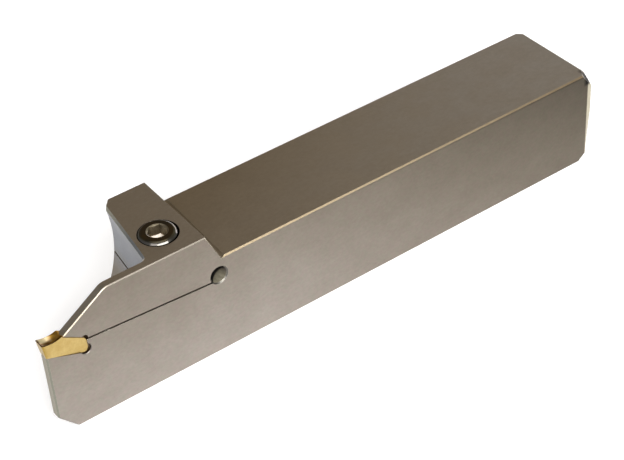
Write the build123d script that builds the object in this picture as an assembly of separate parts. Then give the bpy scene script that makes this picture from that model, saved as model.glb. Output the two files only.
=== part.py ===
from build123d import *
import math
import os

# Parting-off tool holder, right hand.  Millimetres, +Z up, +X towards the
# cutting tip, +Y towards the side that carries the blade.  The origin is on
# the underside, at the middle of the overall length and of the shank width.

# ---------------------------------------------------------------- dimensions
# overall
LENGTH = 150.0            # rear end to cutting edge
SHANK_W = 25.0            # shank width
SHANK_H = 25.0            # shank height, also the height of the cutting edge
JAW_RISE = 7.0            # clamping jaw stands this far above the shank

# clamping jaw and nose, stations measured from the rear end
# sloping rear end of the jaw: where it meets the jaw's top and the shank's top,
# first at the side that carries the blade, then at the far side
RAMP_TOP_X = (110.0, 109.5)
RAMP_FOOT_X = (106.7, 105.5)
RAMP_FOOT_R = 0.75        # cutter radius left at the foot of the slope
NOSE_TOP_X = 134.3        # front end of the jaw's top face
NOSE_TIP = (145.0, 24.93)  # where the slanting nose meets the insert
NOSE_TOP_R = 3.0          # rounding between the jaw's top and the nose

# blade
BLADE_T = 2.4             # blade thickness
BLADE_FRONT_X = 149.5     # front face of the blade
TOE_X, TOE_Z = 145.3, 4.7  # slanting cut at the bottom front of the blade

# concave front of the block, which clears the turning workpiece
CLEAR_R = 30.0            # radius about a point at cutting height
CLEAR_X = 121.37          # rearmost point of the arc at the shank's middle
CLEAR_SLANT = 0.139       # forward sweep per mm of width (8 degrees in plan)
ROOT_FILLET = 1.0         # fillet between the concave front and the blade
FAR_CUT_Y, FAR_CUT_X = 2.8, 2.0  # bevel along the far edge of the front

# saw slit and relief hole
SLIT_W = 0.45
SLIT_X, SLIT_Z = 125.06, 20.51   # a point on the slit's middle plane
SLIT_SLOPE = 0.0632              # rise per mm towards the tip
HOLE_X, HOLE_Z, HOLE_D = 107.7, 20.65, 4.0
HOLE_CHAMFER = 0.3

# insert pocket
PIT_X, PIT_Z, PIT_R = 140.65, 19.05, 1.25  # relief at the pocket's lower rear
PIT_BREAK = 0.12          # its mouth, broken
NICK_X, NICK_Z, NICK_R = 140.5, 21.85, 0.8  # relief at its upper rear
SEAT_GAP = 0.01           # air between insert and pocket, every face
POCKET_REAR_X = 140.06    # stop behind the insert
RIDGE_H, RIDGE_W = 0.30, 1.5  # locating ridges on the two seats

# insert
INSERT_W = 2.8            # width of the cutting edge
CORNER_R = 0.2            # corners of the cutting edge
INSERT_Y = 11.25          # middle plane of the insert
# chip former: stations and heights its floor passes through, width, crown
FORMER_LINE = ((149.85, 24.93), (147.5, 24.2), (145.85, 24.86))
FORMER_WIDTH = 2.7
FORMER_CROWN = 0.5
INSERT_EDGE = 0.12        # long edges next to the jaw
SIDE_RELIEF = 1.6         # degrees, rearwards and downwards

# clamp screw, M5 socket head cap screw
SCREW_X, SCREW_Y = 116.7, 4.6
SCREW_D = 5.0
SCREW_L = 20.0            # under the head
HEAD_D, HEAD_H = 8.5, 5.0
HEAD_PROUD = 0.6          # head stands this far above the jaw
HEAD_SHOULDER = (50.0, 0.45)  # conical shoulder of the head: slope, width
HEAD_ROUND = 0.8          # rounding between the shoulder and the top face
HEX_AF, HEX_DEPTH, HEX_TURN = 4.0, 2.6, 47.0
HEX_MOUTH_D = 4.8
THREAD_CLEARANCE = 0.05   # radial, screw in its tapped hole
JAW_HOLE_D = 5.6          # clearance hole through the jaw
CBORE_D = 9.1             # counterbore round the head
CBORE_DX, CBORE_DY = -0.1, 0.1  # counterbore axis from the screw axis
TAPPED_BOTTOM_Z = 5.0

# edge finish
EDGE_NEAR = 0.45          # near top edge of the shank
EDGE_NEAR_FRONT = 0.35    # near front edge of the blade
EDGE_NEAR_JAW = 0.2       # near edges of the jaw
EDGE_NEAR_LOW = 0.2       # its bottom edge, and round the toe
EDGE_FAR = 0.35           # long edges of the far side
EDGE_BLADE_TOP = 0.5      # inner top edges of the blade and of the concave front
EDGE_BLADE_LOW = 0.2      # inner front and bottom edges of the blade
REAR = 1.0                # bevel round the rear end
REAR_TOP_NEAR = 1.45      # the top rear bevel widens to this at the near side
# near upright edge of the rear end, dressed unevenly: height, size along the
# near side, size across the rear face
REAR_NEAR = ((26.0, 1.3, 0.15), (14.0, 1.1, 0.15), (4.0, 1.1, 0.95), (-1.0, 1.1, 1.05))
# the rear end's corners: corner, then where the dressing meets its three edges,
# signed towards the outside
REAR_CORNERS = (
    ((0.0, 12.5, 25.0), (-3.2, 4.6, 3.9)),
    ((0.0, 12.5, 0.0), (-3.4, 3.0, -2.8)),
    ((0.0, -12.5, 25.0), (-2.6, -2.6, 2.2)),
    ((0.0, -12.5, 0.0), (-2.6, -2.6, -2.2)),
)

# ------------------------------------------------------------------- helpers
X0 = -LENGTH / 2.0        # frame X of the rear end
Y_NEAR = SHANK_W / 2.0    # side with the blade
Y_FAR = -SHANK_W / 2.0
Y_BLADE = Y_NEAR - BLADE_T
JAW_Z = SHANK_H + JAW_RISE


def prism(points, y0, y1, slant=0.0):
    """Closed outline of (station, height) pairs, swept across the width."""
    ring = [Vector(X0 + x, y0, z) for x, z in points]
    face = Face(Wire.make_polygon(ring, close=True))
    return Solid.extrude(face, Vector(slant * (y1 - y0), y1 - y0, 0.0))


def cross_bar(x, z, radius, y0, y1):
    """Round bar across the width at a station."""
    plane = Plane(origin=(X0 + x, y0, z), x_dir=(1, 0, 0), z_dir=(0, 1, 0))
    return Solid.make_cylinder(radius, y1 - y0, plane)


def upright(x, y, z0, z1, radius):
    """Round bar standing along Z."""
    plane = Plane(origin=(X0 + x, y, z0), x_dir=(1, 0, 0), z_dir=(0, 0, 1))
    return Solid.make_cylinder(radius, z1 - z0, plane)


def beyond(point, normal, size=60.0):
    """Block filling the side of a plane that its normal points to."""
    plane = Plane(origin=(X0 + point[0], point[1], point[2]), z_dir=normal)
    sheet = plane * Rectangle(size, size)
    return extrude(sheet, amount=size / 2, dir=plane.z_dir)


def beyond_corner(corner, cuts, size=12.0):
    """Block beyond a plane that meets a corner's three edges at given lengths."""
    normal = Vector(*[math.copysign(1.0 / abs(c), c) for c in cuts])
    point = (corner[0] - cuts[0], corner[1], corner[2])
    return beyond(point, normal, size)


def seat_bar(start, end, offset, half_width, height, y_mid):
    """Ridge along a seat: start and end lie on the seat line, as stations."""
    a = Vector(X0 + start[0], y_mid, start[1])
    b = Vector(X0 + end[0], y_mid, end[1])
    along = (b - a).normalized()
    up = Vector(0, 1, 0).cross(along) * offset
    side = Vector(0, 1, 0)
    ring = [
        a - side * half_width - up * 0.4,
        a + side * half_width - up * 0.4,
        a + side * half_width,
        a + up * height,
        a - side * half_width,
    ]
    return Solid.extrude(Face(Wire.make_polygon(ring, close=True)), b - a)


def edges_where(shape, test):
    """Edges whose every sample point passes the test (frame coordinates)."""
    found = []
    for edge in shape.edges():
        samples = [edge.position_at(t) for t in (0.02, 0.35, 0.65, 0.98)]
        if all(test(p.X - X0, p.Y, p.Z) for p in samples):
            found.append(edge)
    return ShapeList(found)


def near(a, b, tol=0.02):
    return abs(a - b) < tol


# --------------------------------------------------------------- holder body
def floor_z(x):
    """Height of the lower seat of the insert pocket."""
    return 21.5 + (x - BLADE_FRONT_X) * 0.385


def roof_z(x):
    """Height of the upper seat, on the underside of the jaw."""
    return NOSE_TIP[1] + (x - NOSE_TIP[0]) * 0.618


outline = [
    (0.0, 0.0),
    (TOE_X, 0.0),
    (BLADE_FRONT_X, TOE_Z),
    (BLADE_FRONT_X, floor_z(BLADE_FRONT_X)),
    NOSE_TIP,
    (NOSE_TOP_X, JAW_Z),
    (RAMP_FOOT_X[1] - 1.0, JAW_Z),
    (RAMP_FOOT_X[1] - 1.0, SHANK_H),
    (0.0, SHANK_H),
]
body = prism(outline, Y_FAR, Y_NEAR)
body = fillet(
    edges_where(body, lambda x, y, z: near(x, NOSE_TOP_X) and near(z, JAW_Z)),
    NOSE_TOP_R,
)

# the jaw's rear slope, milled slightly askew
def ramp_section(y):
    share = (Y_NEAR - y) / SHANK_W
    top = RAMP_TOP_X[0] + (RAMP_TOP_X[1] - RAMP_TOP_X[0]) * share
    foot = RAMP_FOOT_X[0] + (RAMP_FOOT_X[1] - RAMP_FOOT_X[0]) * share
    rise = (top - foot) / JAW_RISE
    points = [
        (foot, SHANK_H),
        (top + rise, JAW_Z + 1.0),
        (RAMP_FOOT_X[1] - 3.0, JAW_Z + 1.0),
        (RAMP_FOOT_X[1] - 3.0, SHANK_H),
    ]
    return Wire.make_polygon([Vector(X0 + x, y, z) for x, z in points], close=True)


body -= Solid.make_loft(
    [ramp_section(Y_FAR - 1.0), ramp_section(Y_NEAR + 1.0)], ruled=True
)

# everything in front of the concave face is cut away, up to the blade
y_start = Y_FAR - 1.0
arc_centre_x = CLEAR_X + CLEAR_R + CLEAR_SLANT * y_start
z_low, z_high = -1.0, JAW_Z + 1.0


def arc_x(z):
    return arc_centre_x - math.sqrt(CLEAR_R**2 - (z - SHANK_H) ** 2)


def arc_front_x(y, z):
    """Station of the concave front at a width and height."""
    return (
        CLEAR_X
        + CLEAR_R
        + CLEAR_SLANT * y
        - math.sqrt(max(CLEAR_R**2 - (z - SHANK_H) ** 2, 0.0))
    )


low_back = Vector(X0 + arc_x(z_low), y_start, z_low)
high_back = Vector(X0 + arc_x(z_high), y_start, z_high)
low_front = Vector(X0 + 160.0, y_start, z_low)
high_front = Vector(X0 + 160.0, y_start, z_high)
front_face = Face(
    Wire(
        [
            Edge.make_three_point_arc(
                low_back, Vector(X0 + arc_x(SHANK_H), y_start, SHANK_H), high_back
            ),
            Edge.make_line(high_back, high_front),
            Edge.make_line(high_front, low_front),
            Edge.make_line(low_front, low_back),
        ]
    )
)
sweep_y = Y_BLADE - y_start
body -= Solid.extrude(front_face, Vector(CLEAR_SLANT * sweep_y, sweep_y, 0.0))

# fillet where the concave front runs into the blade
root = edges_where(
    body,
    lambda x, y, z: near(y, Y_BLADE) and abs(x - arc_front_x(Y_BLADE, z)) < 0.05,
)
body = fillet(root, ROOT_FILLET)

# bevel along the far edge of the concave front
far = edges_where(
    body, lambda x, y, z: near(y, Y_FAR) and abs(x - arc_front_x(Y_FAR, z)) < 0.05
)
far_side = [
    f
    for f in body.faces()
    if near(f.center().Y, Y_FAR) and abs(f.normal_at().Y) > 0.99
][0]
body = chamfer(far, FAR_CUT_X, FAR_CUT_Y, reference=far_side)

# edges of the side that carries the blade, all round its outline
def low_down(x, z):
    return z < TOE_Z + 0.01 and z < (x - TOE_X) * 1.2 + 0.02


body = chamfer(
    edges_where(body, lambda x, y, z: near(y, Y_NEAR) and x > 0.05 and low_down(x, z)
                or near(y, Y_NEAR) and near(z, 0.0)),
    EDGE_NEAR_LOW,
)
body = chamfer(
    edges_where(
        body, lambda x, y, z: near(y, Y_NEAR) and 0.05 < x < 108 and near(z, SHANK_H)
    ),
    EDGE_NEAR,
)
body = chamfer(
    edges_where(
        body, lambda x, y, z: near(y, Y_NEAR) and near(x, BLADE_FRONT_X) and z > 4
    ),
    EDGE_NEAR_FRONT,
)
body = chamfer(
    edges_where(
        body,
        lambda x, y, z: near(y, Y_NEAR)
        and z > SHANK_H - 4
        and not near(z, SHANK_H, 0.005)
        and not near(x, BLADE_FRONT_X),
    ),
    EDGE_NEAR_JAW,
)

# long edges of the far side
body = chamfer(
    edges_where(
        body,
        lambda x, y, z: (
            near(y, Y_FAR)
            and x > 0.02
            and (near(z, SHANK_H) or near(z, JAW_Z) or near(z, 0.0)
                 or (RAMP_FOOT_X[1] - 0.1 < x < RAMP_TOP_X[1] + 0.1 and z > SHANK_H))
        ),
    ),
    EDGE_FAR,
)

# edges of the blade's inner side; the top one runs on along the concave front
body = chamfer(
    edges_where(
        body,
        lambda x, y, z: near(y, Y_BLADE)
        and x > arc_front_x(Y_BLADE, z) + 0.8
        and z > SHANK_H - 0.2,
    ),
    EDGE_BLADE_TOP,
)
body = chamfer(
    edges_where(
        body,
        lambda x, y, z: near(y, Y_BLADE)
        and x > arc_front_x(Y_BLADE, z) + 0.8
        and z < floor_z(BLADE_FRONT_X) + 0.05,
    ),
    EDGE_BLADE_LOW,
)

# cutter radius at the foot of the jaw's rear slope
foot_slant = (RAMP_FOOT_X[0] - RAMP_FOOT_X[1]) / SHANK_W
groove_z = SHANK_H + RAMP_FOOT_R - 0.25
groove_start = Vector(
    X0 + RAMP_FOOT_X[1] - 0.35 - foot_slant, Y_FAR - 1.0, groove_z
)
body -= Solid.make_cylinder(
    RAMP_FOOT_R,
    SHANK_W + 2.0,
    Plane(origin=groove_start, x_dir=(0, 0, 1), z_dir=(foot_slant, 1, 0)),
)

# rear end: bevels on its edges, then the four corners dressed
tilt = (REAR_TOP_NEAR - REAR) / SHANK_W
rear_top = Vector(-1, tilt, 1)
body -= beyond(((REAR + REAR_TOP_NEAR) / 2, 0.0, SHANK_H), rear_top)
body -= beyond((REAR, 0.0, 0.0), (-1, 0, -1))
body -= beyond((REAR, Y_FAR, SHANK_H / 2), (-1, -1, 0))
sections = [
    Wire.make_polygon(
        [
            Vector(X0 + along, Y_NEAR, z),
            Vector(X0 + along, Y_NEAR + 1.0, z),
            Vector(X0 - 1.0, Y_NEAR + 1.0, z),
            Vector(X0 - 1.0, Y_NEAR - across - across / along, z),
        ],
        close=True,
    )
    for z, along, across in REAR_NEAR
]
for lower, upper in zip(sections[1:], sections[:-1]):
    body -= Solid.make_loft([lower, upper], ruled=True)
for corner, cuts in REAR_CORNERS:
    body -= beyond_corner(corner, cuts)

# counterbore, clearance hole through the jaw and tapped hole below the slit
slit_at_screw = SLIT_Z + (SCREW_X - SLIT_X) * SLIT_SLOPE
head_seat_z = JAW_Z + HEAD_PROUD - HEAD_H
cb_x, cb_y = SCREW_X + CBORE_DX, SCREW_Y + CBORE_DY
body -= upright(cb_x, cb_y, head_seat_z, JAW_Z + 1, CBORE_D / 2)
body -= upright(SCREW_X, SCREW_Y, slit_at_screw, head_seat_z + 1, JAW_HOLE_D / 2)
tap_r = SCREW_D / 2 + THREAD_CLEARANCE
body -= upright(SCREW_X, SCREW_Y, TAPPED_BOTTOM_Z, slit_at_screw + 0.5, tap_r)
body -= Pos(X0 + SCREW_X, SCREW_Y, TAPPED_BOTTOM_Z) * Solid.make_cone(
    0.0, tap_r, tap_r * math.tan(math.radians(31.0))
).moved(Location((0, 0, -tap_r * math.tan(math.radians(31.0)))))

# relief hole right through, with its mouths broken
body -= cross_bar(HOLE_X, HOLE_Z, HOLE_D / 2, Y_FAR - 1, Y_NEAR + 1)
for y, z_dir in ((Y_NEAR, (0, 1, 0)), (Y_FAR, (0, -1, 0))):
    mouth = Plane(
        origin=(X0 + HOLE_X, y - z_dir[1] * HOLE_CHAMFER, HOLE_Z),
        x_dir=(1, 0, 0),
        z_dir=z_dir,
    )
    body -= Solid.make_cone(
        HOLE_D / 2, HOLE_D / 2 + 2 * HOLE_CHAMFER, 2 * HOLE_CHAMFER, mouth
    )


# saw slit from the pocket back to the relief hole
def slit_mid(x):
    return SLIT_Z + (x - SLIT_X) * SLIT_SLOPE


slit_ends = (HOLE_X + 0.6, NICK_X)
body -= prism(
    [
        (slit_ends[0], slit_mid(slit_ends[0]) - SLIT_W / 2),
        (slit_ends[1], slit_mid(slit_ends[1]) - SLIT_W / 2),
        (slit_ends[1], slit_mid(slit_ends[1]) + SLIT_W / 2),
        (slit_ends[0], slit_mid(slit_ends[0]) + SLIT_W / 2),
    ],
    Y_FAR - 1,
    Y_NEAR + 1,
)

# insert pocket: two sloping seats with a locating ridge on each
pocket = prism(
    [
        (151.0, floor_z(151.0) - SEAT_GAP),
        (140.6, floor_z(140.6) - SEAT_GAP),
        (POCKET_REAR_X - SEAT_GAP, 19.0),
        (POCKET_REAR_X - SEAT_GAP, 21.0),
        (141.0, roof_z(141.0) + SEAT_GAP),
        (146.5, roof_z(146.5) + SEAT_GAP),
        (151.0, 27.0),
    ],
    Y_BLADE - 1,
    Y_NEAR + 1,
)
pocket += cross_bar(PIT_X, PIT_Z, PIT_R, Y_BLADE - 1, Y_NEAR + 1)
pocket += cross_bar(NICK_X, NICK_Z, NICK_R, Y_BLADE - 1, Y_NEAR + 1)
roof_line = ((139.0, roof_z(139.0) + SEAT_GAP), (146.5, roof_z(146.5) + SEAT_GAP))
floor_line = ((139.0, floor_z(139.0) - SEAT_GAP), (152.0, floor_z(152.0) - SEAT_GAP))
roof_ridge = seat_bar(*roof_line, 1, RIDGE_W / 2, RIDGE_H, INSERT_Y)
floor_ridge = seat_bar(*floor_line, -1, RIDGE_W / 2, RIDGE_H, INSERT_Y)
pits = cross_bar(PIT_X, PIT_Z, PIT_R, Y_BLADE - 1, Y_NEAR + 1) + cross_bar(
    NICK_X, NICK_Z, NICK_R, Y_BLADE - 1, Y_NEAR + 1
)
body -= (pocket - roof_ridge - floor_ridge) + pits
pit_mouth = Plane(
    origin=(X0 + PIT_X, Y_NEAR - PIT_BREAK, PIT_Z), x_dir=(1, 0, 0), z_dir=(0, 1, 0)
)
body -= Solid.make_cone(PIT_R, PIT_R + 2 * PIT_BREAK, 2 * PIT_BREAK, pit_mouth)

# ------------------------------------------------------------------- insert
arc_a, arc_b, arc_c = (149.8, 25.0), (147.25, 24.63), (145.95, 24.83)


def at(p, y):
    return Vector(X0 + p[0], y, p[1])


y_a = INSERT_Y - INSERT_W / 2
insert_points = [
    arc_c,
    (145.3, roof_z(145.3) - 0.06),
    (145.15, roof_z(145.15)),
    (141.15, roof_z(141.15)),
    (140.3, 21.5),
    (POCKET_REAR_X, 20.9),
    (POCKET_REAR_X, 18.95),
    (140.45, 18.35),
    (141.0, floor_z(141.0)),
    (149.52, floor_z(149.52)),
    (150.0, 25.0),
    arc_a,
]
edges = [Edge.make_three_point_arc(at(arc_a, y_a), at(arc_b, y_a), at(arc_c, y_a))]
for p, q in zip(insert_points[:-1], insert_points[1:]):
    edges.append(Edge.make_line(at(p, y_a), at(q, y_a)))
insert = Solid.extrude(Face(Wire(edges)), Vector(0, INSERT_W, 0))

# side relief, rearwards and downwards from the two cutting corners
t = math.tan(math.radians(SIDE_RELIEF))
for s in (-1, 1):
    insert -= beyond(
        (150.0, INSERT_Y + s * INSERT_W / 2, 25.0), Vector(-t, s, -t), 40.0
    )
# chip former ground into the rake face with a crowned wheel
(ax, az), (bx, bz), (cx_, cz) = FORMER_LINE
k = 2 * (ax * (bz - cz) + bx * (cz - az) + cx_ * (az - bz))
wheel_x = (
    (ax**2 + az**2) * (bz - cz) + (bx**2 + bz**2) * (cz - az) + (cx_**2 + cz**2) * (az - bz)
) / k
wheel_z = (
    (ax**2 + az**2) * (cx_ - bx) + (bx**2 + bz**2) * (ax - cx_) + (cx_**2 + cz**2) * (bx - ax)
) / k
wheel_r = math.hypot(ax - wheel_x, az - wheel_z)


def on_wheel(y, radius):
    return Vector(X0 + wheel_x, INSERT_Y + y, wheel_z - radius)


half = FORMER_WIDTH / 2
profile = Face(
    Wire(
        [
            Edge.make_three_point_arc(
                on_wheel(-half, wheel_r - FORMER_CROWN),
                on_wheel(0, wheel_r),
                on_wheel(half, wheel_r - FORMER_CROWN),
            ),
            Edge.make_line(on_wheel(half, wheel_r - FORMER_CROWN), on_wheel(half, 0)),
            Edge.make_line(on_wheel(half, 0), on_wheel(-half, 0)),
            Edge.make_line(on_wheel(-half, 0), on_wheel(-half, wheel_r - FORMER_CROWN)),
        ]
    )
)
wheel = revolve(profile, Axis((X0 + wheel_x, INSERT_Y, wheel_z), (0, 1, 0)), 360)
insert -= wheel

# its long edges against the jaw, slightly broken
insert = chamfer(
    edges_where(
        insert,
        lambda x, y, z: abs(y - INSERT_Y) > INSERT_W / 2 - 0.4
        and x < 145.2
        and near(z, roof_z(x)),
    ),
    INSERT_EDGE,
)
# corners of the cutting edge
front = [
    e
    for e in insert.edges()
    if min(e.position_at(t_).X - X0 for t_ in (0, 1)) > 149.4
    and abs(e.position_at(0).Z - e.position_at(1).Z) > 2.0
]
insert = fillet(front, CORNER_R)

# grooves that ride on the pocket's ridges
insert -= seat_bar(
    (139.0, roof_z(139.0)), (147.0, roof_z(147.0)), 1,
    RIDGE_W / 2 + 0.05, RIDGE_H + 0.02, INSERT_Y,
)
insert -= seat_bar(
    (139.0, floor_z(139.0)), (152.0, floor_z(152.0)), -1,
    RIDGE_W / 2 + 0.05, RIDGE_H + 0.02, INSERT_Y,
)

# -------------------------------------------------------------- clamp screw
top_z = JAW_Z + HEAD_PROUD


def on_screw(radius, z):
    return Vector(X0 + SCREW_X + radius, SCREW_Y, z)


slope, width = math.radians(HEAD_SHOULDER[0]), HEAD_SHOULDER[1]
crest_r = HEAD_D / 2 - width * math.cos(slope) - HEAD_ROUND * math.sin(slope)


def on_crest(angle):
    """Point of the rounding where its surface slopes at an angle."""
    return on_screw(
        crest_r + HEAD_ROUND * math.sin(angle), top_z - HEAD_ROUND * (1 - math.cos(angle))
    )


shoulder_low = on_crest(slope) + Vector(math.cos(slope), 0, -math.sin(slope)) * width
head_outline = [
    Edge.make_line(on_screw(0, head_seat_z), on_screw(HEAD_D / 2 - 0.2, head_seat_z)),
    Edge.make_line(
        on_screw(HEAD_D / 2 - 0.2, head_seat_z), on_screw(HEAD_D / 2, head_seat_z + 0.2)
    ),
    Edge.make_line(on_screw(HEAD_D / 2, head_seat_z + 0.2), shoulder_low),
    Edge.make_line(shoulder_low, on_crest(slope)),
    Edge.make_three_point_arc(on_crest(slope), on_crest(slope / 2), on_crest(0)),
    Edge.make_line(on_crest(0), on_screw(0, top_z)),
    Edge.make_line(on_screw(0, top_z), on_screw(0, head_seat_z)),
]
screw = revolve(
    Face(Wire(head_outline)), Axis((X0 + SCREW_X, SCREW_Y, head_seat_z), (0, 0, 1)), 360
)
shank = upright(SCREW_X, SCREW_Y, head_seat_z - SCREW_L, head_seat_z + 0.5, SCREW_D / 2)
shank = chamfer(
    [e for e in shank.edges() if near(e.center().Z, head_seat_z - SCREW_L)], 0.5
)
screw += shank
socket_floor = top_z - HEX_DEPTH
hexagon = Plane(
    origin=(X0 + SCREW_X, SCREW_Y, socket_floor - 1.4), z_dir=(0, 0, 1)
) * RegularPolygon(HEX_AF / 2, 6, major_radius=False, rotation=HEX_TURN)
socket = extrude(hexagon, amount=HEX_DEPTH + 2.0)
drill_r = HEX_AF / math.sqrt(3) + 0.02
drill = upright(SCREW_X, SCREW_Y, socket_floor, top_z + 1.0, drill_r)
tip_h = drill_r * math.tan(math.radians(30.0))
drill += Pos(X0 + SCREW_X, SCREW_Y, socket_floor - tip_h) * Solid.make_cone(
    0.0, drill_r, tip_h
).moved(Location((0, 0, 0)))
socket = socket & drill
mouth_depth = (HEX_MOUTH_D / 2 - HEX_AF / 2) * math.tan(math.radians(30.0))
socket += Pos(X0 + SCREW_X, SCREW_Y, top_z - mouth_depth) * Solid.make_cone(
    HEX_AF / 2, HEX_MOUTH_D / 2 + mouth_depth / math.tan(math.radians(30.0)),
    2 * mouth_depth,
)
screw -= socket

# -------------------------------------------------------------------- export
pieces = {"holder_body": body, "cutting_insert": insert, "clamp_screw": screw}
os.makedirs("parts", exist_ok=True)
for name, piece in pieces.items():
    solids = piece.solids()
    print(name, "solids", len(solids), "volume", round(piece.volume, 2))
    export_step(solids[0] if len(solids) == 1 else piece, f"parts/{name}.step")
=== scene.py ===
"""Looks of a right-hand parting tool holder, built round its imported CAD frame."""

import math

import bmesh
import bpy
from mathutils import Matrix, Vector


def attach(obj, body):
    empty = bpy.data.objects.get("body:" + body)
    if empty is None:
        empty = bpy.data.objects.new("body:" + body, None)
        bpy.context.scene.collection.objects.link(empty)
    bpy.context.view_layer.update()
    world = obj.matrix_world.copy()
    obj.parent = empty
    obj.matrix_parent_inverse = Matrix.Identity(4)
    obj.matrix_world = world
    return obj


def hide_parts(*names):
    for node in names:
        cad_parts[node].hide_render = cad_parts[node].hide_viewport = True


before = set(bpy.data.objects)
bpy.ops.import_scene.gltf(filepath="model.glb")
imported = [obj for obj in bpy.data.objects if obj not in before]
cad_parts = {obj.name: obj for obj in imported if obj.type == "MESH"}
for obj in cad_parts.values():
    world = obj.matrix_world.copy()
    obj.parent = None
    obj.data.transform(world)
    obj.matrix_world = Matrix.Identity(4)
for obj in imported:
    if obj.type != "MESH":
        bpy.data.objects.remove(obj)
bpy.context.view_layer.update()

MM = 0.001


# ------------------------------------------------------------- node helpers
class Nodes:
    """Short hand for building one material's node tree."""

    def __init__(self, name):
        self.material = bpy.data.materials.new(name)
        self.material.use_nodes = True
        self.tree = self.material.node_tree
        self.tree.nodes.clear()
        self.output = self.add("ShaderNodeOutputMaterial")
        self.shader = self.add("ShaderNodeBsdfPrincipled")
        self.link(self.shader.outputs["BSDF"], self.output.inputs["Surface"])
        coordinates = self.add("ShaderNodeTexCoord")
        scale = self.add("ShaderNodeVectorMath", operation="SCALE")
        scale.inputs["Scale"].default_value = 1.0 / MM
        self.link(coordinates.outputs["Object"], scale.inputs[0])
        self.mm = scale.outputs[0]          # object coordinates in millimetres
        split = self.add("ShaderNodeSeparateXYZ")
        self.link(self.mm, split.inputs[0])
        self.x, self.y, self.z = split.outputs
        facing = self.add("ShaderNodeSeparateXYZ")
        self.link(coordinates.outputs["Normal"], facing.inputs[0])
        self.nx, self.ny, self.nz = facing.outputs   # the surface's own direction

    def add(self, kind, **settings):
        node = self.tree.nodes.new(kind)
        for key, value in settings.items():
            setattr(node, key, value)
        return node

    def link(self, a, b):
        self.tree.links.new(a, b)

    def put(self, value, socket):
        if isinstance(value, bpy.types.NodeSocket):
            self.link(value, socket)
        else:
            socket.default_value = value

    def math(self, operation, a, b=0.0, clamp=False):
        node = self.add("ShaderNodeMath", operation=operation, use_clamp=clamp)
        self.put(a, node.inputs[0])
        self.put(b, node.inputs[1])
        return node.outputs[0]

    def spread(self, value, low, high, to_low=0.0, to_high=1.0):
        """Linear step between two values, either way round, clamped."""
        node = self.add("ShaderNodeMapRange", clamp=True)
        self.put(value, node.inputs["Value"])
        for key, number in (
            ("From Min", low), ("From Max", high), ("To Min", to_low), ("To Max", to_high)
        ):
            node.inputs[key].default_value = number
        return node.outputs["Result"]

    def noise(self, scale, stretch=(1, 1, 1), detail=3.0, rough=0.5, distortion=0.0):
        """Noise with its scale in features per millimetre."""
        mapping = self.add("ShaderNodeMapping")
        mapping.inputs["Scale"].default_value = stretch
        self.link(self.mm, mapping.inputs["Vector"])
        node = self.add("ShaderNodeTexNoise")
        self.link(mapping.outputs[0], node.inputs["Vector"])
        node.inputs["Scale"].default_value = scale
        node.inputs["Detail"].default_value = detail
        node.inputs["Roughness"].default_value = rough
        node.inputs["Distortion"].default_value = distortion
        return node.outputs["Fac"]

    def mix(self, share, a, b):
        """Colour a to colour b by share."""
        node = self.add("ShaderNodeMix", data_type="RGBA")
        self.put(share, node.inputs["Factor"])
        for value, socket in ((a, node.inputs["A"]), (b, node.inputs["B"])):
            sockets = [s for s in node.inputs if s.name == socket.name and s.type == "RGBA"]
            self.put(value if isinstance(value, bpy.types.NodeSocket) else (*value, 1.0),
                     sockets[0])
        return [s for s in node.outputs if s.type == "RGBA"][0]

    def bump(self, height, distance_mm, strength=1.0, normal=None):
        node = self.add("ShaderNodeBump")
        node.inputs["Strength"].default_value = strength
        node.inputs["Distance"].default_value = distance_mm * MM
        self.link(height, node.inputs["Height"])
        if normal is not None:
            self.link(normal, node.inputs["Normal"])
        return node.outputs["Normal"]


def times(n, colour, share):
    """Colour scaled by a factor socket."""
    node = n.add("ShaderNodeVectorMath", operation="SCALE")
    n.link(colour, node.inputs[0])
    n.link(share, node.inputs["Scale"])
    return node.outputs[0]


def distance_from_axis(n, a, b, a0, b0):
    """Distance from the axis at (a0, b0) in two coordinates, millimetres."""
    dx = n.math("SUBTRACT", a, a0)
    dy = n.math("SUBTRACT", b, b0)
    return n.math("SQRT", n.math("ADD", n.math("MULTIPLY", dx, dx), n.math("MULTIPLY", dy, dy)))


def all_of(n, first, *others):
    for other in others:
        first = n.math("MULTIPLY", first, other)
    return first


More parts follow.
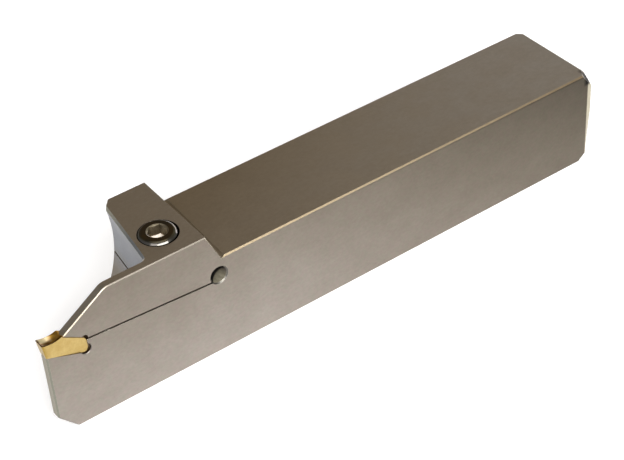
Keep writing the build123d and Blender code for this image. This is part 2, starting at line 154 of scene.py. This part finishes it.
def ground_steel(name):
    """Surface ground, tempered steel: straw to brown, deepest at the clamped end, with painted light and
    shade on several faces and edges.
    """
    n = Nodes(name)
    blotch = n.spread(n.noise(0.16, (0.8, 1, 1), 4, 0.55), 0.36, 0.64)
    fine = n.noise(1.5, (0.7, 1, 1), 4, 0.6)
    lines = n.noise(7.0, (0.035, 1, 1), 3, 0.6)
    speck = n.noise(8.0, (1, 1, 1), 3, 0.6)
    # every face but the near side; browner on the shank's top towards the jaw
    plain = n.mix(blotch, (0.347, 0.303, 0.245), (0.322, 0.275, 0.214))
    plain = times(n, plain, n.spread(n.x, -75.0, 0.0, 0.82, 0.98))
    straw = all_of(n, n.spread(n.x, -45.0, 25.0), n.spread(n.z, 24.0, 24.6),
                   n.spread(n.z, 25.6, 25.2), n.spread(n.y, -12.0, 6.0, 1.0, 0.45))
    plain = n.mix(straw, plain, (0.275, 0.222, 0.150))
    # the concave front, grey, browner low down and bluish grey higher up
    clear = all_of(n, n.spread(n.x, 43.0, 44.0), n.spread(n.nx, 0.45, 0.65),
                   n.spread(n.y, 10.05, 9.9), n.spread(n.nz, 0.62, 0.52))
    grey = n.mix(n.spread(n.z, 16.0, 23.0), (0.138, 0.117, 0.088), (0.150, 0.156, 0.172))
    plain = n.mix(clear, plain, grey)
    # bevels along the near top edges, straw at the shank and grey at the jaw
    bevel = all_of(n, n.spread(n.ny, 0.40, 0.55), n.spread(n.nz, 0.40, 0.55),
                   n.spread(n.nx, 0.35, 0.20))
    high = n.spread(n.z, 31.4, 31.6)
    straw = n.mix(n.spread(n.x, -75.0, -10.0), (0.215, 0.160, 0.098), (0.300, 0.238, 0.152))
    plain = n.mix(bevel, plain, n.mix(high, straw, (0.200, 0.178, 0.148)))
    # painted highlight: light edges along the jaw's top, at the front and along the rear slope
    front_rim = all_of(n, n.spread(n.z, 30.9, 31.2), n.spread(n.nx, 0.45, 0.60),
                       n.spread(n.nz, 0.50, 0.62), n.spread(n.y, 9.9, 9.7))
    rear_rim = all_of(n, n.spread(n.z, 30.9, 31.4), n.spread(n.nx, -0.06, -0.16))
    rim = n.mix(n.spread(n.y, -9.0, 3.0), (0.55, 0.52, 0.43), (0.26, 0.265, 0.27))
    plain = n.mix(front_rim, plain, rim)
    # the slope behind the jaw, a shade lighter than the shank
    slope = n.math("MULTIPLY", n.spread(n.z, 25.3, 25.6), n.spread(n.nx, -0.02, -0.10))
    plain = n.mix(slope, plain, (0.362, 0.318, 0.250))
    # painted highlight along the top of the rear slope
    plain = n.mix(rear_rim, plain, (0.62, 0.56, 0.45))
    # near-black along the far top edges, growing from x 20 mm to 45 mm
    far = all_of(n, n.spread(n.y, -11.9, -12.2), n.spread(n.z, 24.7, 24.9))
    tail = n.math("MULTIPLY", far, n.spread(n.x, 20.0, 45.0, 0.0, 0.75))
    plain = n.mix(tail, plain, (0.05, 0.05, 0.05))
    # the blade's front end, duller than the sides, and painted shade on the downward-facing cut under
    # its toe
    tip = all_of(n, n.spread(n.x, 69.5, 70.0), n.spread(n.nx, 0.20, 0.35),
                 n.spread(n.y, 9.6, 9.9), n.spread(n.z, 24.9, 24.6))
    plain = n.mix(tip, plain, n.mix(n.spread(n.ny, 0.2, 0.5), (0.190, 0.170, 0.122),
                                    (0.205, 0.203, 0.165)))
    toe = all_of(n, n.spread(n.x, 68.0, 70.0), n.spread(n.nx, 0.10, 0.25),
                 n.spread(n.nz, -0.10, -0.25), n.spread(n.ny, 0.2, 0.4))
    plain = n.mix(toe, plain, (0.125, 0.110, 0.090))
    # near side: painted shade, lighter low down and towards the front where it reflects the bright
    # floor; the temper colour deepens to the rear and upwards
    near = n.math("MULTIPLY", n.spread(n.y, 12.0, 12.3), n.spread(n.ny, 0.80, 0.92))
    light = n.math("SUBTRACT", 0.2900, n.math("MULTIPLY", n.z, 0.0030))
    light = n.math("SUBTRACT", light, n.spread(n.x, -75.0, 25.0, 0.151, 0.0))
    drift = n.spread(n.noise(0.05, (0.5, 1, 1), 3, 0.5), 0.3, 0.7, 0.96, 1.04)
    light = all_of(n, light, drift, n.spread(blotch, 0.0, 1.0, 1.03, 0.97))
    tint = n.mix(n.spread(light, 0.09, 0.28), (1.0, 0.84, 0.625), (1.0, 0.90, 0.80))
    hue = n.mix(n.spread(n.noise(0.9, (1, 1, 1), 2, 0.5), 0.38, 0.62), (1.02, 0.985, 1.0),
                (0.985, 1.01, 0.985))
    tinted = n.add("ShaderNodeVectorMath", operation="MULTIPLY")
    n.link(times(n, tint, light), tinted.inputs[0])
    n.link(hue, tinted.inputs[1])
    side = tinted.outputs[0]
    colour = n.mix(near, plain, side)
    # a bright strip down the rear upright edge, its top corner dark
    rear_edge_strip = all_of(n, n.spread(n.x, -73.85, -73.65, 1.0, 0.0), n.spread(n.y, 11.9, 12.1),
                     n.spread(n.z, 24.4, 22.6, 0.0, 1.0))
    colour = n.mix(rear_edge_strip, colour, (0.47, 0.43, 0.33))
    corner = all_of(n, n.spread(n.x, -73.2, -72.2, 1.0, 0.0), n.spread(n.y, 9.6, 10.6),
                    n.spread(n.z, 21.6, 22.4))
    colour = n.mix(corner, colour, (0.012, 0.011, 0.009))
    # painted shade: the counterbore's wall near-black for the shadowed gap round the screw head; brown
    # round the insert's pocket
    bore = all_of(n, n.spread(distance_from_axis(n, n.x, n.y, 41.6, 4.7), 4.75, 4.62),
                  n.spread(n.z, 31.95, 31.8))
    pocket = all_of(n, n.spread(distance_from_axis(n, n.x, n.z, 65.6, 19.4), 2.3, 2.0),
                    n.spread(n.y, 12.32, 12.22))
    nick = all_of(n, n.spread(distance_from_axis(n, n.x, n.z, 65.5, 21.85), 1.2, 1.0),
                  n.spread(n.y, 12.42, 12.32))
    colour = n.mix(n.math("MULTIPLY", bore, 0.95), colour, (0.020, 0.017, 0.013))
    colour = n.mix(n.math("MULTIPLY", n.math("MAXIMUM", pocket, nick), 0.8), colour,
                   (0.13, 0.070, 0.022))
    # the relief hole's drilled wall, bright near its mouth, with painted shade darkening its upper side
    drilled = all_of(n, n.spread(distance_from_axis(n, n.x, n.z, 32.7, 20.65), 2.12, 2.05),
                     n.spread(n.y, 12.24, 12.16))
    across = n.math("SUBTRACT", n.x, 32.7)
    height = n.math("SUBTRACT", n.z, 20.65)
    streak = n.spread(n.noise(1.6, (1, 0.3, 1), 3, 0.6), 0.35, 0.65)
    wall = n.mix(streak, (0.19, 0.165, 0.115), (0.29, 0.265, 0.19))
    wall = n.mix(n.spread(height, -1.2, 0.1, 0.0, 0.8), wall, (0.05, 0.04, 0.042))
    # painted shadow: near-black in the hole beyond a slanting line
    hole_shadow = n.math("ADD", n.math("SUBTRACT", 12.5, n.y), n.math("MULTIPLY", across, 0.9))
    hole_shadow = n.math("ADD", hole_shadow, n.math("MULTIPLY", height, 1.3))
    wall = n.mix(n.spread(hole_shadow, -0.35, 0.0), wall, (0.006, 0.005, 0.004))
    colour = n.mix(drilled, colour, wall)
    mouth = all_of(n, n.spread(distance_from_axis(n, n.x, n.z, 32.7, 20.65), 2.5, 2.4),
                   n.spread(n.y, 12.0, 12.2), n.spread(n.ny, 0.97, 0.90),
                   n.math("SUBTRACT", 1.0, drilled))
    colour = n.mix(mouth, colour, (0.125, 0.118, 0.104))
    lip = all_of(n, n.spread(distance_from_axis(n, n.x, n.z, 65.65, 19.05), 1.6, 1.5),
                 n.spread(n.y, 12.2, 12.3), n.spread(n.ny, 0.97, 0.90))
    colour = n.mix(lip, colour, (0.14, 0.125, 0.115))
    shade = n.math("MULTIPLY", n.spread(lines, 0.3, 0.7, 0.97, 1.02),
                   n.spread(fine, 0.25, 0.75, 0.92, 1.06))
    shade = n.math("MULTIPLY", shade, n.spread(speck, 0.3, 0.7, 0.96, 1.04))
    n.link(times(n, colour, shade), n.shader.inputs["Base Color"])
    n.link(n.math("SUBTRACT", 1.0, n.math("MULTIPLY", drilled, 0.6)),
           n.shader.inputs["Metallic"])
    r = n.math("ADD", n.spread(lines, 0.25, 0.75, -0.03, 0.03), n.spread(blotch, 0.0, 1.0, 0.385, 0.425))
    r = n.math("ADD", r, n.math("MULTIPLY", n.math("MAXIMUM", drilled, corner), 0.25))
    n.link(r, n.shader.inputs["Roughness"])
    relief = n.math("ADD", n.math("MULTIPLY", lines, 0.6), n.math("MULTIPLY", speck, 0.4))
    n.link(n.bump(relief, 0.012, 0.35), n.shader.inputs["Normal"])
    return n.material


def edge_steel(name):
    n = Nodes(name)
    fine = n.noise(3.0, (0.5, 1, 1), 3, 0.6)
    colour = n.mix(n.spread(fine, 0.35, 0.65), (0.46, 0.42, 0.36), (0.38, 0.34, 0.28))
    rear = n.spread(n.x, -75.0, 10.0, 0.55, 1.0)
    # painted highlight: the rounded crest between the jaw's top and its rear slope, lightened
    crest = all_of(n, n.spread(n.z, 31.7, 31.8), n.spread(n.ny, 0.5, 0.3),
                   n.spread(n.x, 40.0, 37.0))
    colour = n.mix(crest, times(n, colour, rear), (0.80, 0.70, 0.55))
    n.link(colour, n.shader.inputs["Base Color"])
    n.shader.inputs["Metallic"].default_value = 1.0
    n.link(n.spread(fine, 0.3, 0.7, 0.26, 0.38), n.shader.inputs["Roughness"])
    return n.material


def gold(name):
    """Titanium nitride coating, with painted shade where the insert enters the jaw and painted light and
    shade on the chip former.
    """
    n = Nodes(name)
    cloud = n.spread(n.noise(0.5, (1, 1, 1), 4, 0.55), 0.35, 0.65)
    fine = n.noise(9.0, (1, 1, 1), 3, 0.6)
    mottle = n.noise(2.5, (1, 1, 1), 4, 0.6)
    colour = n.mix(cloud, (0.455, 0.336, 0.130), (0.395, 0.277, 0.094))
    low = n.math("MULTIPLY", n.spread(n.z, 20.0, 18.4), n.spread(n.y, 12.3, 12.5))
    colour = n.mix(n.math("MULTIPLY", low, 0.5), colour, (0.45, 0.37, 0.22))
    colour = n.mix(n.spread(n.x, 74.0, 74.7), colour, (0.30, 0.20, 0.045))
    # painted shade in the seam under the jaw, and painted light and shade on the chip former
    sloped = n.math("SUBTRACT", n.z, n.math("MULTIPLY", n.math("SUBTRACT", n.x, 70.0), 0.618))
    line = all_of(n, n.spread(sloped, 24.60, 24.68), n.spread(n.x, 70.3, 70.1))
    rake = all_of(n, n.spread(n.x, 69.6, 70.1), n.spread(n.z, 23.4, 23.6),
                  n.spread(n.nz, 0.25, 0.45))
    # painted light and shade: cream on the far half that faces the overhead light, brown towards the
    # near side and rear
    rake_light = n.math("MAXIMUM", n.spread(n.y, 10.9, 11.6), n.spread(n.x, 73.0, 71.8))
    former = n.mix(rake_light, (0.90, 0.74, 0.45), (0.39, 0.21, 0.035))
    # painted shade at the front, darker where the lamp's highlight falls
    deep = n.math("MULTIPLY", n.spread(n.x, 72.2, 73.0), n.spread(n.y, 10.7, 11.3))
    former = n.mix(deep, former, (0.17, 0.088, 0.016))
    # painted shade: near-black along the near edge and the front end
    edge = n.math("MAXIMUM", n.spread(n.y, 11.75, 12.2), n.spread(n.x, 74.35, 74.7))
    former = n.mix(n.math("MULTIPLY", edge, 0.85), former, (0.09, 0.040, 0.004))
    colour = n.mix(n.math("MULTIPLY", line, 0.95), colour, (0.035, 0.018, 0.006))
    colour = n.mix(rake, colour, former)
    colour = times(n, colour, n.spread(mottle, 0.3, 0.7, 0.93, 1.06))
    n.link(colour, n.shader.inputs["Base Color"])
    n.link(n.spread(line, 0.0, 1.0, 1.0, 0.3), n.shader.inputs["Metallic"])
    n.link(n.math("ADD", n.spread(fine, 0.3, 0.7, 0.30, 0.42), n.math("MULTIPLY", line, 0.4)),
           n.shader.inputs["Roughness"])
    n.link(n.bump(fine, 0.01, 0.3), n.shader.inputs["Normal"])
    return n.material


def black_oxide(name):
    """Blackened steel; the socket's walls are rubbed to brown metal by the key, with a painted highlight
    on its floor.
    """
    n = Nodes(name)
    fine = n.noise(4.0, (1, 1, 1), 4, 0.6)
    cloud = n.spread(n.noise(0.35, (1, 1, 1), 3, 0.5, 0.4), 0.40, 0.62)
    radius = distance_from_axis(n, n.x, n.y, 41.7, 4.6)
    inside = n.math("MULTIPLY", n.spread(radius, 2.46, 2.40), n.spread(n.z, 28.2, 28.3))
    base = n.spread(n.z, 30.12, 30.02)
    colour = n.mix(cloud, (0.045, 0.042, 0.034), (0.075, 0.058, 0.026))
    shoulder = n.math("MULTIPLY", n.spread(radius, 3.80, 4.0), n.spread(n.z, 31.6, 31.8))
    colour = n.mix(shoulder, colour, (0.090, 0.084, 0.074))
    socket_wear_and_highlight = n.mix(n.spread(fine, 0.35, 0.65), (0.23, 0.195, 0.13), (0.12, 0.10, 0.065))
    # painted highlight: the socket's floor near-white where it catches the light from above
    socket_wear_and_highlight = n.mix(base, socket_wear_and_highlight, (0.90, 0.82, 0.72))
    n.link(n.mix(inside, colour, socket_wear_and_highlight), n.shader.inputs["Base Color"])
    n.shader.inputs["Metallic"].default_value = 1.0
    rough = n.spread(fine, 0.3, 0.7, 0.13, 0.19)
    wide = n.math("MULTIPLY", inside, 0.28)
    n.link(n.math("ADD", rough, wide), n.shader.inputs["Roughness"])
    n.shader.inputs["Coat Weight"].default_value = 0.3
    n.shader.inputs["Coat Roughness"].default_value = 0.08
    n.link(n.bump(fine, 0.006, 0.2), n.shader.inputs["Normal"])
    return n.material


# ------------------------------------------------------------------- pieces
def refined(node, name, width_mm, materials, edge_slot, angle=24.0):
    """Copy of a CAD node with its edges broken by a small rounding."""
    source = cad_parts[node]
    bm = bmesh.new()
    bm.from_mesh(source.data)
    bmesh.ops.remove_doubles(bm, verts=bm.verts, dist=2e-6)
    bmesh.ops.dissolve_limit(
        bm, angle_limit=math.radians(0.4), verts=bm.verts, edges=bm.edges
    )
    mesh = bpy.data.meshes.new(name)
    bm.to_mesh(mesh)
    bm.free()
    piece = bpy.data.objects.new(name, mesh)
    bpy.context.scene.collection.objects.link(piece)
    for m in materials:
        mesh.materials.append(m)
    for polygon in mesh.polygons:
        polygon.material_index = 0
    mesh.shade_smooth()
    mesh.set_sharp_from_angle(angle=math.radians(angle))
    bevel = piece.modifiers.new("edges", "BEVEL")
    bevel.width = width_mm * MM
    bevel.segments = 2
    bevel.limit_method = "ANGLE"
    bevel.angle_limit = math.radians(angle)
    bevel.use_clamp_overlap = True
    bevel.material = edge_slot
    bevel.miter_outer = "MITER_ARC"
    weighted = piece.modifiers.new("normals", "WEIGHTED_NORMAL")
    weighted.keep_sharp = True
    weighted.weight = 60
    return piece


steel = ground_steel("ground_steel")
bright = edge_steel("ground_steel_edges")
coating = gold("gold_coating")
oxide = black_oxide("black_oxide")

holder = refined("holder_body", "holder_body_ground", 0.05, [steel, bright], 1)
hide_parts("holder_body")
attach(holder, "holder")

insert = refined("cutting_insert", "cutting_insert_coated", 0.03, [coating], 0)
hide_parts("cutting_insert")
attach(insert, "holder")

SCREW_X, SCREW_Y = 41.7, 4.6            # axis of the clamp screw, mm
SCREW_NECK_Z, SCREW_TIP_Z = 27.3, 7.6   # where the thread begins and ends


def thread(low, high, crest, root, pitch, steps=48):
    """Closed helical rod on the screw's axis, as a bmesh in metres."""
    bm = bmesh.new()
    profile = ((0.0, crest), (0.16, crest), (0.44, root), (0.72, root))
    turns = int((high - low) / pitch) + 3
    rings = []
    for t in range(turns * steps + 1):
        angle = 2 * math.pi * t / steps
        rise = low - pitch * 1.5 + pitch * t / steps
        rings.append([
            bm.verts.new((
                (SCREW_X + r * math.cos(angle)) * MM,
                (SCREW_Y + r * math.sin(angle)) * MM,
                (rise + share * pitch) * MM,
            ))
            for share, r in profile
        ])
    for t in range(turns * steps):
        a, b = rings[t], rings[t + 1]
        for j in range(3):
            bm.faces.new((a[j], b[j], b[j + 1], a[j + 1]))
        if t + steps < turns * steps:
            c, d = rings[t + steps], rings[t + steps + 1]
            bm.faces.new((a[3], b[3], d[0], c[0]))
    for z, way in ((low, -1), (high, 1)):
        everything = bm.verts[:] + bm.edges[:] + bm.faces[:]
        cut = bmesh.ops.bisect_plane(
            bm, geom=everything, dist=1e-8, plane_co=(0, 0, z * MM), plane_no=(0, 0, way),
            clear_outer=True,
        )
        rim = [e for e in cut["geom_cut"] if isinstance(e, bmesh.types.BMEdge)]
        bmesh.ops.contextual_create(bm, geom=rim)
    for v in bm.verts:
        reach = 1.75 + (v.co.z / MM - low)
        x, y = v.co.x / MM - SCREW_X, v.co.y / MM - SCREW_Y
        r = math.hypot(x, y)
        if r > reach:
            v.co.x = (SCREW_X + x * reach / r) * MM
            v.co.y = (SCREW_Y + y * reach / r) * MM
    bmesh.ops.recalc_face_normals(bm, faces=bm.faces)
    return bm


screw = refined("clamp_screw", "clamp_screw_oxide", 0.05, [oxide], 0, 30)
bm = bmesh.new()
bm.from_mesh(screw.data)
cut = bmesh.ops.bisect_plane(
    bm, geom=bm.verts[:] + bm.edges[:] + bm.faces[:], dist=1e-8,
    plane_co=(0, 0, SCREW_NECK_Z * MM), plane_no=(0, 0, -1), clear_outer=True,
)
bmesh.ops.contextual_create(
    bm, geom=[e for e in cut["geom_cut"] if isinstance(e, bmesh.types.BMEdge)]
)
bm.to_mesh(screw.data)
bm.free()
bm = thread(SCREW_TIP_Z, SCREW_NECK_Z, 2.49, 2.05, 0.8)
mesh = bpy.data.meshes.new("clamp_screw_thread")
bm.to_mesh(mesh)
bm.free()
mesh.materials.append(oxide)
mesh.shade_smooth()
mesh.set_sharp_from_angle(angle=math.radians(20))
threaded = bpy.data.objects.new("clamp_screw_thread", mesh)
bpy.context.scene.collection.objects.link(threaded)
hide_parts("clamp_screw")
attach(threaded, "screw")
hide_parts("clamp_screw")
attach(screw, "screw")

# -------------------------------------------------------------------- stage
n = Nodes("floor")
n.shader.inputs["Roughness"].default_value = 0.9
n.shader.inputs["Specular IOR Level"].default_value = 0.1
n.shader.inputs["Emission Color"].default_value = (1, 1, 1, 1)
n.shader.inputs["Emission Strength"].default_value = 0.22
grain = n.noise(0.02, (1, 1, 1), 3, 0.5)
n.link(n.mix(n.spread(grain, 0.3, 0.7), (0.86, 0.86, 0.86), (0.84, 0.84, 0.84)),
       n.shader.inputs["Base Color"])
bm = bmesh.new()
bmesh.ops.create_grid(bm, x_segments=8, y_segments=8, size=6.0)
mesh = bpy.data.meshes.new("floor")
bm.to_mesh(mesh)
bm.free()
floor = bpy.data.objects.new("floor", mesh)
floor.location = (0, 0, -0.00005)
bpy.context.scene.collection.objects.link(floor)
mesh.materials.append(n.material)


def softbox(name, place, target, size, power, colour=(1, 1, 1)):
    light = bpy.data.lights.new(name, "AREA")
    light.shape = "RECTANGLE"
    light.size, light.size_y = size
    light.energy = power
    light.color = colour
    lamp = bpy.data.objects.new(name, light)
    lamp.location = place
    lamp.rotation_mode = "QUATERNION"
    lamp.rotation_quaternion = (Vector(target) - Vector(place)).to_track_quat("-Z", "Y")
    bpy.context.scene.collection.objects.link(lamp)
    return lamp


softbox("key", (0.14, 0.97, 0.72), (0.02, 0, 0.02), (1.2, 0.42), 21.0)
softbox("left", (0.95, 0.55, 0.75), (0.06, 0, 0.01), (0.6, 0.6), 3.5, (1.0, 0.97, 1.0))
softbox("overhead", (0.0, 0.1, 1.5), (0, 0, 0), (1.2, 1.2), 5.0)
softbox("rear", (-1.25, -0.72, 0.20), (0, 0, 0.03), (1.3, 0.30), 5.5, (0.97, 0.91, 1.0))

world = bpy.data.worlds.new("studio")
bpy.context.scene.world = world
world.use_nodes = True
tree = world.node_tree
tree.nodes.clear()
out = tree.nodes.new("ShaderNodeOutputWorld")
background = tree.nodes.new("ShaderNodeBackground")
tree.links.new(background.outputs[0], out.inputs["Surface"])
coordinates = tree.nodes.new("ShaderNodeTexCoord")
split = tree.nodes.new("ShaderNodeSeparateXYZ")
tree.links.new(coordinates.outputs["Generated"], split.inputs[0])


def sky(axis, low, high, stops):
    """Colour of the room's wall along one axis of direction."""
    span = tree.nodes.new("ShaderNodeMapRange")
    span.inputs["From Min"].default_value = low
    span.inputs["From Max"].default_value = high
    tree.links.new(split.outputs[axis], span.inputs["Value"])
    ramp = tree.nodes.new("ShaderNodeValToRGB")
    elements = ramp.color_ramp.elements
    while len(elements) > 1:
        elements.remove(elements[-1])
    for i, (at, colour) in enumerate(stops):
        element = elements[0] if i == 0 else elements.new((at - low) / (high - low))
        element.position = (at - low) / (high - low)
        element.color = (*colour, 1)
    tree.links.new(span.outputs["Result"], ramp.inputs["Fac"])
    return ramp.outputs["Color"], span.outputs["Result"]


back, _ = sky("X", -1.0, 1.0, (
    (-0.66, (0.61, 0.64, 0.61)),
    (-0.40, (0.27, 0.20, 0.13)),
    (0.00, (0.25, 0.21, 0.16)),
    (0.36, (0.24, 0.242, 0.222)),
    (0.80, (0.50, 0.50, 0.52)),
))
front, _ = sky("X", -1.0, 1.0, (
    (-0.75, (0.40, 0.38, 0.34)),
    (-0.25, (0.85, 0.85, 0.85)),
))
_, turn = sky("Y", -0.35, 0.45, ((-0.35, (0, 0, 0)), (0.45, (1, 1, 1))))
mix = tree.nodes.new("ShaderNodeMix")
mix.data_type = "RGBA"
tree.links.new(turn, mix.inputs["Factor"])
colours = [s for s in mix.inputs if s.type == "RGBA"]
tree.links.new(back, colours[0])
tree.links.new(front, colours[1])
tree.links.new([s for s in mix.outputs if s.type == "RGBA"][0], background.inputs["Color"])
background.inputs["Strength"].default_value = 0.9

# ------------------------------------------------------------------- camera
lens = bpy.data.cameras.new("camera")
lens.sensor_width = 36.0
lens.lens = 96.672
lens.clip_start, lens.clip_end = 0.01, 20.0
camera = bpy.data.objects.new("camera", lens)
camera.matrix_world = Matrix(
    (
        (-0.80397397, -0.40642249, 0.43410479, 0.16696867),
        (0.59192174, -0.47690445, 0.64976211, 0.24994033),
        (-0.05705141, 0.77934774, 0.62398897, 0.24822505),
        (0, 0, 0, 1),
    )
)
bpy.context.scene.collection.objects.link(camera)
bpy.context.scene.camera = camera
bpy.context.scene.view_settings.view_transform = "Standard"
bpy.context.scene.view_settings.look = "None"
